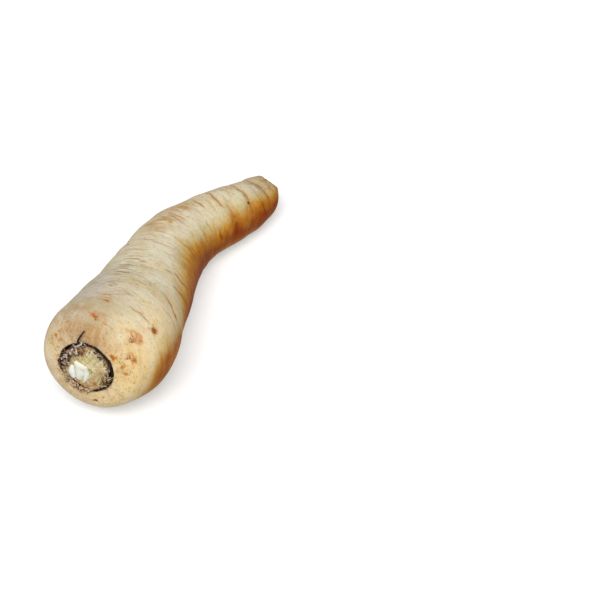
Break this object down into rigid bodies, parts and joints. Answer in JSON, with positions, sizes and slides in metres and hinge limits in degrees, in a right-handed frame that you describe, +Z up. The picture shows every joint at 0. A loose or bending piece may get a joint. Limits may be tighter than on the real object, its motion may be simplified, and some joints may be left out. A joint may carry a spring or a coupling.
{
  "type": "parsnip",
  "caption": "Single parsnip lying on its side: a thick, gently bowed taproot with a blunt tip, a cut leaf-stalk stub set in a pit in its crown and a collar of dead sheaths.",
  "frame": {"origin": "on the surface that the parsnip lies on, under the middle of its bounding box", "axes": "+Y along the root from the crown to the tip, +Z up, +X to the right when the crown is seen from the front"},
  "size_m": [0.0604, 0.1914, 0.0553],
  "materials": {
    "root_skin": "cream parsnip skin, satin, finely wrinkled crosswise",
    "cut_stalk": "moist cut leaf stalks, pale green with a white heart",
    "dead_sheath": "dry, blackened, matte"
  },
  "bodies": {
    "root": {"taproot": "root_skin", "leaf_stalk_stub": "cut_stalk", "dead_leaf_sheaths": "dead_sheath"}
  },
  "joints": []
}
